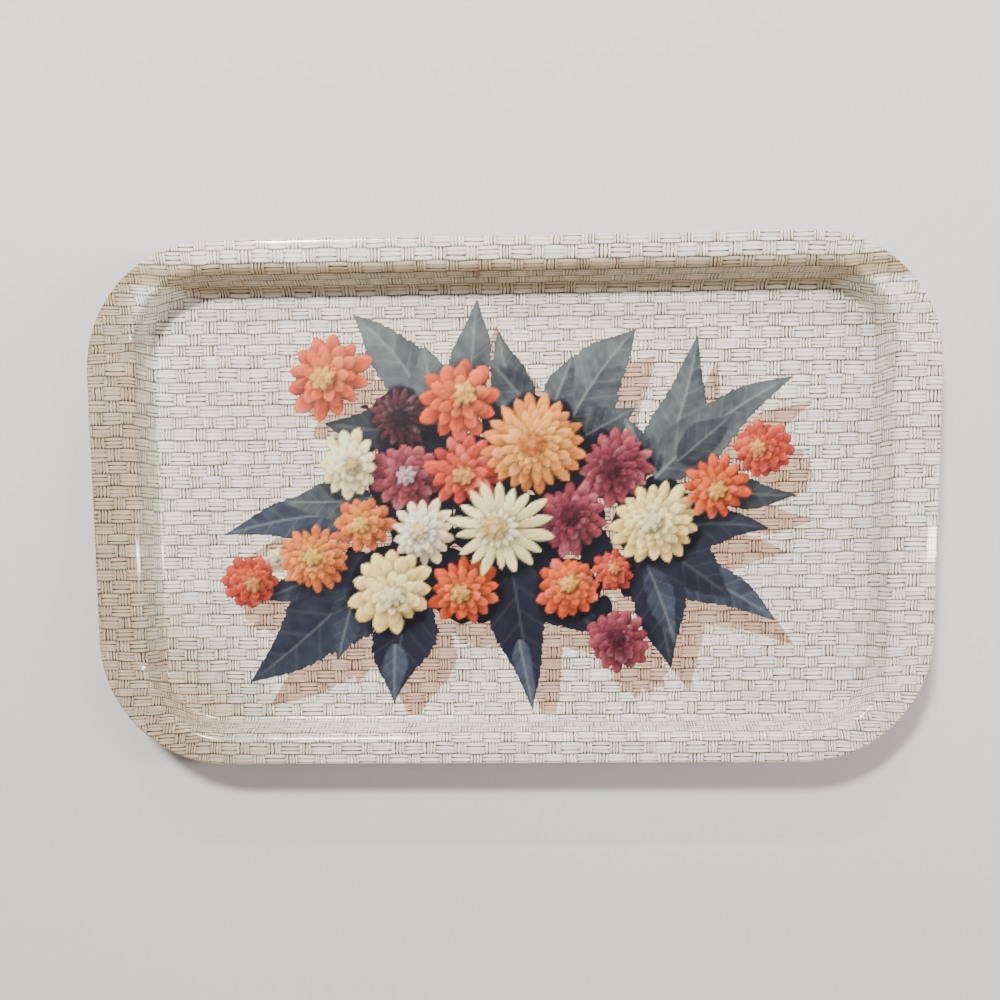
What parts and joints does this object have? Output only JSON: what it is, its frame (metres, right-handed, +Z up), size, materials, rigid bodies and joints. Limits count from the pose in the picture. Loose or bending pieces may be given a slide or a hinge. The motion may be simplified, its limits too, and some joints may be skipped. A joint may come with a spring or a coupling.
{
  "type": "folding tray table",
  "caption": "Folding bed tray table: a rounded rectangular pressed-steel tray with a printed straw-weave and dried-flower face, and two bent-rod legs that fold flat beneath it.",
  "frame": {"origin": "on the ground, midway between the ends and the long sides of the tray, legs folded", "axes": "+X along the tray's length, +Y across it towards the print's upper edge, +Z up out of the tray's face"},
  "size_m": [0.556, 0.3436, 0.0402],
  "materials": {
    "straw_enamel": "gloss printed enamel, straw weave with flowers",
    "bracket_steel": "satin lacquered steel",
    "pin_steel": "bright zinc",
    "washer_nylon": "natural nylon",
    "leg_lacquer": "brass-coloured lacquer over steel rod",
    "foot_vinyl": "brown moulded vinyl",
    "clip_steel": "blued spring steel"
  },
  "bodies": {
    "tray": {"tray_pan": "straw_enamel", "hinge_bracket_left_front": "bracket_steel", "hinge_bracket_left_back": "bracket_steel", "hinge_bracket_right_front": "bracket_steel", "hinge_bracket_right_back": "bracket_steel", "pivot_pin_left_front": "pin_steel", "pivot_pin_left_back": "pin_steel", "pivot_pin_right_front": "pin_steel", "pivot_pin_right_back": "pin_steel", "pivot_washer_left_front_inner": "washer_nylon", "pivot_washer_left_front_outer": "washer_nylon", "pivot_washer_left_back_inner": "washer_nylon", "pivot_washer_left_back_outer": "washer_nylon", "pivot_washer_right_front_inner": "washer_nylon", "pivot_washer_right_front_outer": "washer_nylon", "pivot_washer_right_back_inner": "washer_nylon", "pivot_washer_right_back_outer": "washer_nylon", "leg_clip_left": "clip_steel", "leg_clip_right": "clip_steel"},
    "left_leg": {"leg_frame_left": "leg_lacquer", "foot_sleeve_left_front": "foot_vinyl", "foot_sleeve_left_back": "foot_vinyl"},
    "right_leg": {"leg_frame_right": "leg_lacquer", "foot_sleeve_right_front": "foot_vinyl", "foot_sleeve_right_back": "foot_vinyl"}
  },
  "joints": [
    {"name": "left_leg_fold", "type": "hinge", "parent": "tray", "child": "left_leg", "pos_m": [-0.209, 0, 0.0065], "axis": [0, 1, 0], "range_deg": [0, 97]},
    {"name": "right_leg_fold", "type": "hinge", "parent": "tray", "child": "right_leg", "pos_m": [0.209, 0, 0.0065], "axis": [0, -1, 0], "range_deg": [0, 97]}
  ]
}
